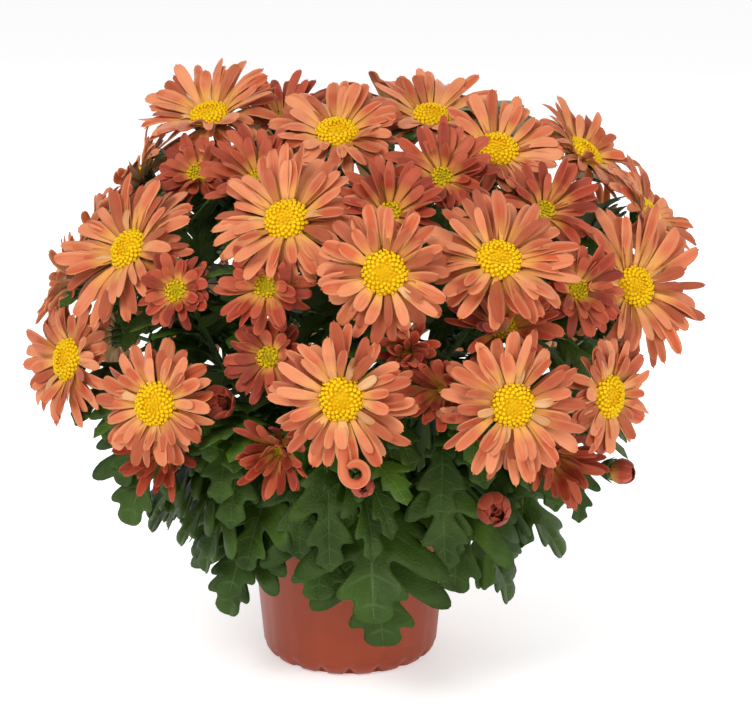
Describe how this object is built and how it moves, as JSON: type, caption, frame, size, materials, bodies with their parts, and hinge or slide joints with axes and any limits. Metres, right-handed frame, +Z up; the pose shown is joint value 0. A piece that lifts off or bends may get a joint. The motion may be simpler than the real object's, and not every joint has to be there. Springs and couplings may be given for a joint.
{
  "type": "pot chrysanthemum",
  "caption": "Bushy flowering chrysanthemum in a round moulded plastic pot, with layered daisy-like blooms on branched stalks and lobed leaves that hang over the rim.",
  "frame": {"origin": "centre of the pot's underside, on the surface that the pot stands on", "axes": "+Z up along the pot's axis; -Y is the front, which the finest blooms face; +X is to the right of someone who looks at the front"},
  "size_m": [0.3699, 0.3379, 0.3371],
  "materials": {
    "pot": "satin moulded polypropylene, terracotta coloured",
    "soil": "moist crumbly peat",
    "leaves": "matt dark green with a bluish sheen and paler veins",
    "petals": "soft matt petals, coral with paler edges and cream feet",
    "side_blooms": "soft matt petals of a deeper coral, with green stalks",
    "discs": "velvety golden florets"
  },
  "bodies": {
    "root": {"pot": "pot", "soil": "soil", "cutting_1": "leaves", "cutting_2": "leaves", "cutting_3": "leaves", "cutting_4": "leaves", "cutting_5": "leaves", "bloom_01_rays": "petals", "bloom_01_disc": "discs", "bloom_02_rays": "petals", "bloom_02_disc": "discs", "bloom_03_rays": "petals", "bloom_03_disc": "discs", "bloom_04_rays": "petals", "bloom_04_disc": "discs", "bloom_05_rays": "petals", "bloom_05_disc": "discs", "bloom_06_rays": "petals", "bloom_06_disc": "discs", "bloom_07_rays": "petals", "bloom_07_disc": "discs", "bloom_08_rays": "petals", "bloom_08_disc": "discs", "bloom_09_rays": "petals", "bloom_09_disc": "discs", "bloom_10_rays": "petals", "bloom_10_disc": "discs", "bloom_11_rays": "petals", "bloom_11_disc": "discs", "bloom_12_rays": "petals", "bloom_12_disc": "discs", "bloom_13_rays": "petals", "bloom_13_disc": "discs", "bloom_14_rays": "petals", "bloom_14_disc": "discs", "bloom_15_rays": "petals", "bloom_15_disc": "discs", "bloom_16_rays": "petals", "bloom_16_disc": "discs", "bloom_17_rays": "petals", "bloom_17_disc": "discs", "bloom_18_rays": "petals", "bloom_18_disc": "discs", "spray_01": "side_blooms", "spray_02": "side_blooms", "spray_03": "side_blooms", "spray_04": "side_blooms", "spray_05": "side_blooms", "spray_06": "side_blooms", "spray_07": "side_blooms", "spray_08": "side_blooms", "spray_09": "side_blooms", "spray_10": "side_blooms", "spray_11": "side_blooms", "spray_12": "side_blooms", "spray_13": "side_blooms", "spray_14": "side_blooms"}
  },
  "joints": []
}
